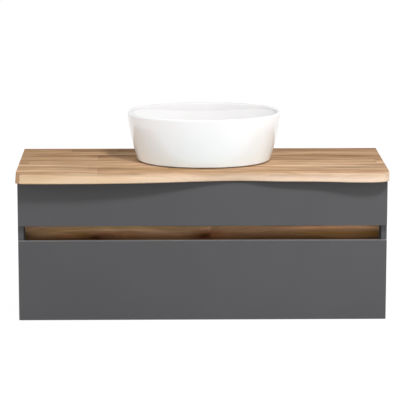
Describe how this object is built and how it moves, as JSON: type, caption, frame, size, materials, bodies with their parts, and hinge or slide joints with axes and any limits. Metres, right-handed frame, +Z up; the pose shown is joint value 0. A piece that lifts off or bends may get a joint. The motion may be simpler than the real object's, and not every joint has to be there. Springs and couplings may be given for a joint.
{
  "type": "vessel sink on vanity",
  "caption": "Wall-hung bathroom vanity: grey drawers with a finger gap, an oak worktop with a waney front edge, and an oval white vessel basin.",
  "frame": {"origin": "middle of the whole outline seen from above, at the level of the cabinet's underside", "axes": "+X to the viewer's right along the cabinet, +Y towards the wall, +Z up; the drawer fronts face -Y"},
  "size_m": [1.2046, 0.5214, 0.6555],
  "materials": {
    "grey_lacquer": "matte grey foil on board",
    "oak": "matte oak with grain along the worktop and a pale waney edge",
    "shaded_oak": "matte oak with grain along the cabinet",
    "drawer_board": "light melamine on board",
    "ceramic": "white glazed ceramic",
    "silicone": "translucent white silicone",
    "rubber": "black rubber",
    "chrome": "polished chrome on brass",
    "zinc_steel": "bright zinc on steel sheet"
  },
  "bodies": {
    "cabinet": {"side_panel_left": "grey_lacquer", "side_panel_right": "grey_lacquer", "bottom_panel": "grey_lacquer", "recess_board": "shaded_oak", "back_rail_lower": "drawer_board", "back_rail_upper": "drawer_board", "top_rail_front": "drawer_board", "top_rail_back": "drawer_board", "worktop": "oak", "worktop_screw_front_left": "zinc_steel", "worktop_screw_front_right": "zinc_steel", "worktop_screw_back_left": "zinc_steel", "worktop_screw_back_right": "zinc_steel", "basin": "ceramic", "basin_bead": "silicone", "waste_body": "chrome", "waste_flange_seal": "rubber", "waste_washer": "rubber", "waste_nut": "zinc_steel", "trap_body": "chrome", "trap_cup": "chrome", "trap_dip_tube": "chrome", "trap_inlet_nut": "chrome", "trap_outlet_nut": "chrome", "outlet_pipe": "chrome", "wall_rosette": "chrome", "hanger_left": "zinc_steel", "hanger_right": "zinc_steel", "wall_plate_left": "zinc_steel", "wall_plate_right": "zinc_steel", "lower_runner_outer_left": "zinc_steel", "lower_runner_outer_right": "zinc_steel", "upper_runner_outer_left": "zinc_steel", "upper_runner_outer_right": "zinc_steel"},
    "upper_drawer": {"upper_front": "grey_lacquer", "upper_box_side_left": "drawer_board", "upper_box_side_right": "drawer_board", "upper_box_bottom": "drawer_board", "upper_box_back_left": "drawer_board", "upper_box_back_right": "drawer_board", "well_wall_left": "drawer_board", "well_wall_right": "drawer_board", "well_wall_front": "drawer_board", "upper_runner_inner_left": "zinc_steel", "upper_runner_inner_right": "zinc_steel"},
    "lower_drawer": {"lower_front": "grey_lacquer", "lower_box_side_left": "drawer_board", "lower_box_side_right": "drawer_board", "lower_box_bottom": "drawer_board", "lower_box_back": "drawer_board", "lower_runner_inner_left": "zinc_steel", "lower_runner_inner_right": "zinc_steel"},
    "upper_runner_middles": {"upper_runner_middle_left": "zinc_steel", "upper_runner_middle_right": "zinc_steel"},
    "lower_runner_middles": {"lower_runner_middle_left": "zinc_steel", "lower_runner_middle_right": "zinc_steel"},
    "drain_plug": {"plug_cap": "chrome", "plug_seal": "rubber"}
  },
  "joints": [
    {"name": "upper_drawer_slide", "type": "slide", "parent": "cabinet", "child": "upper_drawer", "axis": [0, -1, 0], "range_m": [0, 0.35]},
    {"name": "lower_drawer_slide", "type": "slide", "parent": "cabinet", "child": "lower_drawer", "axis": [0, -1, 0], "range_m": [0, 0.35]},
    {"name": "upper_middles_slide", "type": "slide", "parent": "cabinet", "child": "upper_runner_middles", "axis": [0, -1, 0], "range_m": [0, 0.175]},
    {"name": "lower_middles_slide", "type": "slide", "parent": "cabinet", "child": "lower_runner_middles", "axis": [0, -1, 0], "range_m": [0, 0.175]},
    {"name": "plug_lift", "type": "slide", "parent": "cabinet", "child": "drain_plug", "axis": [0, 0, 1], "range_m": [0, 0.008]}
  ],
  "couplings": [
    {"joint": "upper_middles_slide", "follows": "upper_drawer_slide", "ratio": 0.5},
    {"joint": "lower_middles_slide", "follows": "lower_drawer_slide", "ratio": 0.5}
  ]
}
